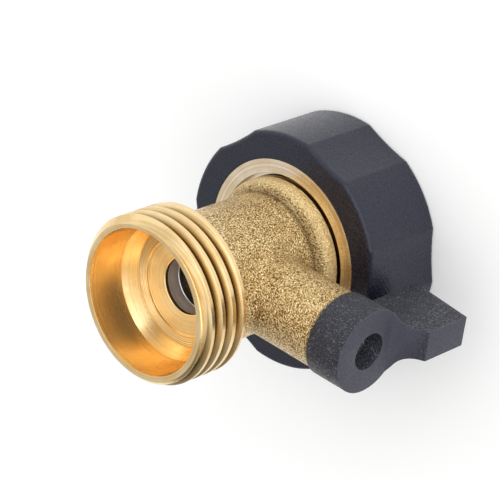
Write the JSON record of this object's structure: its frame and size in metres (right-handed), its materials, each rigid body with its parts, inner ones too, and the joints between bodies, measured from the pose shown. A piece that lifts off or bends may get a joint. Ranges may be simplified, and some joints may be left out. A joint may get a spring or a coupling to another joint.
{
  "type": "hose shut-off ball valve",
  "caption": "Brass shut-off ball valve for a garden or caravan water hose, with a quarter-turn lever, a male hose thread outlet and a swivelling female hose nut.",
  "frame": {"origin": "centre of the inlet nut's thread at its open end face, on the flow axis", "axes": "+Z along the flow axis from inlet to outlet, +X along the stem out to the lever, +Y completes a right-handed frame"},
  "size_m": [0.0528, 0.039, 0.045],
  "materials": {
    "shot_blasted_brass": "forged and shot-blasted, bright where the thread and the cup are turned",
    "turned_brass": "turned, fine rings",
    "chromed_brass": "polished chrome plate",
    "ptfe": "moulded PTFE",
    "rubber": "moulded nitrile rubber",
    "lever_plastic": "moulded, fine grain",
    "nut_plastic": "moulded, smooth satin",
    "zinc_plated_steel": "bright zinc plate",
    "spring_steel": "stainless spring steel"
  },
  "bodies": {
    "body": {"valve_body": "shot_blasted_brass", "outlet_retainer": "turned_brass", "outlet_seat": "ptfe", "inlet_seat": "ptfe", "nut_retaining_ring": "spring_steel"},
    "handle": {"lever": "lever_plastic", "lever_screw": "zinc_plated_steel", "screw_lock_washer": "zinc_plated_steel", "valve_stem": "turned_brass", "stem_thrust_washer": "ptfe", "stem_o_ring_inner": "rubber", "stem_o_ring_outer": "rubber"},
    "ball": {"ball": "chromed_brass"},
    "swivel_nut": {"nut_grip": "nut_plastic", "nut_insert": "turned_brass", "hose_washer": "rubber"}
  },
  "joints": [
    {"name": "lever_turn", "type": "hinge", "parent": "body", "child": "handle", "pos_m": [0, 0, 0.0264], "axis": [-1, 0, 0], "range_deg": [0, 90]},
    {"name": "ball_turn", "type": "hinge", "parent": "body", "child": "ball", "pos_m": [0, 0, 0.0264], "axis": [-1, 0, 0], "range_deg": [0, 90]},
    {"name": "nut_swivel", "type": "hinge", "parent": "body", "child": "swivel_nut", "pos_m": [0, 0, 0], "axis": [0, 0, 1], "continuous": true}
  ],
  "couplings": [
    {"joint": "ball_turn", "follows": "lever_turn", "ratio": 1}
  ]
}
